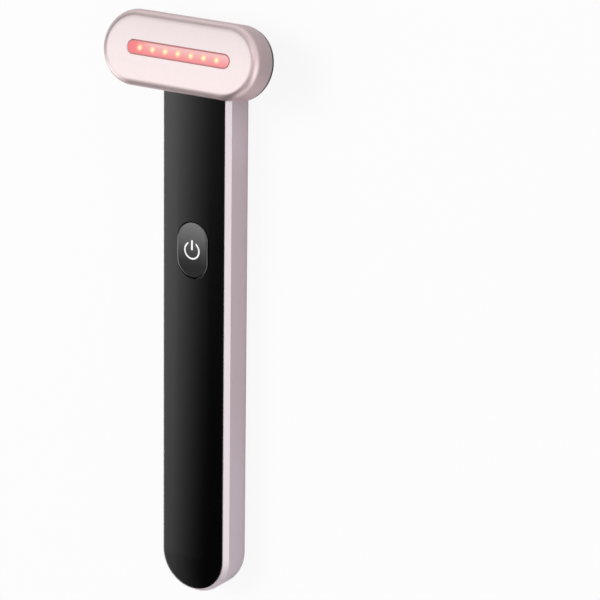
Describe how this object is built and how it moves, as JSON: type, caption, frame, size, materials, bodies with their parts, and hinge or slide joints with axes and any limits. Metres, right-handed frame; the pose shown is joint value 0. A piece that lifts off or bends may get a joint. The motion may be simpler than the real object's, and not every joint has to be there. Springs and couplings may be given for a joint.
{
  "type": "red light therapy wand",
  "caption": "Slim handheld light wand: long bevelled handle with a glossy front and power button, and a tilted pill-shaped swivel head with a lit slot.",
  "frame": {"origin": "under the middle of the whole wand, on the plane of the handle back, as it lies on its back", "axes": "+X across the handle to the right, +Y along the handle towards the head, +Z out of the glossy front"},
  "size_m": [0.0496, 0.1649, 0.0219],
  "materials": {
    "rose_satin": "satin metallic rose paint on moulded plastic",
    "rose_metal": "fine blasted and anodised rose metal",
    "black_gloss": "piano-black gloss",
    "button_black": "piano-black gloss, softly crowned",
    "icon_white": "translucent white inlay",
    "cover_black": "satin black moulding",
    "window_red": "polished red translucent bar",
    "lamp_red": "clear lamp lenses, lit",
    "box_white": "white light frame",
    "board_white": "white solder mask",
    "board_green": "green solder mask",
    "chip_black": "moulded black",
    "switch_plastic": "moulded dark grey",
    "frame_grey": "moulded grey",
    "bush_plastic": "natural acetal",
    "soft_rubber": "soft silicone",
    "foam": "thin adhesive foam",
    "sealing_tape": "thin black tape",
    "cell_foil": "laminated foil pouch",
    "steel": "plain steel",
    "tungsten": "sintered heavy metal",
    "contact_brass": "sprung brass strip",
    "heater_amber": "amber film",
    "lead_red": "red lead",
    "lead_blue": "blue lead",
    "wire_grey": "sleeved harness"
  },
  "bodies": {
    "handle": {"handle_casing": "rose_satin", "front_panel": "black_gloss", "panel_tape": "sealing_tape", "button_pad": "soft_rubber", "switch_body": "switch_plastic", "icon_lamp": "icon_white", "main_board": "board_green", "control_chips": "chip_black", "chassis_screws": "steel", "inlet_shell": "steel", "inlet_tongue": "chip_black", "inner_frame": "frame_grey", "battery_cell": "cell_foil", "battery_foam": "foam", "battery_leads": "lead_red", "motor_can": "steel", "motor_cap": "switch_plastic", "motor_boot": "soft_rubber", "motor_leads": "lead_blue", "handle_wires": "wire_grey", "touch_contact": "contact_brass", "swivel_bush": "bush_plastic", "seat_washer": "bush_plastic", "friction_washer": "steel"},
    "head": {"head_shell": "rose_metal", "light_window": "window_red", "light_box": "box_white", "heater_film": "heater_amber", "lamp_board": "board_white", "red_lamps": "lamp_red", "lamp_board_screws": "steel", "heat_sensor": "chip_black", "back_cover": "cover_black", "cover_seal": "soft_rubber", "head_wires": "wire_grey", "swivel_post": "steel", "retaining_clip": "steel", "stop_pin": "steel", "post_screws": "steel"},
    "button": {"power_button": "button_black", "power_icon": "icon_white", "switch_plunger": "switch_plastic"},
    "rotor": {"motor_shaft": "steel", "motor_weight": "tungsten"}
  },
  "joints": [
    {"name": "head_swivel", "type": "hinge", "parent": "handle", "child": "head", "pos_m": [0, 0.07079, 0.01133], "axis": [0, 0.2588, 0.9659], "range_deg": [-90, 90]},
    {"name": "button_press", "type": "slide", "parent": "handle", "child": "button", "axis": [0, 0, -1], "range_m": [0, 0.0003], "stiffness_N_per_m": 5000},
    {"name": "motor_spin", "type": "hinge", "parent": "handle", "child": "rotor", "pos_m": [0, 0.0475, 0.0053], "axis": [0, 1, 0], "continuous": true}
  ]
}
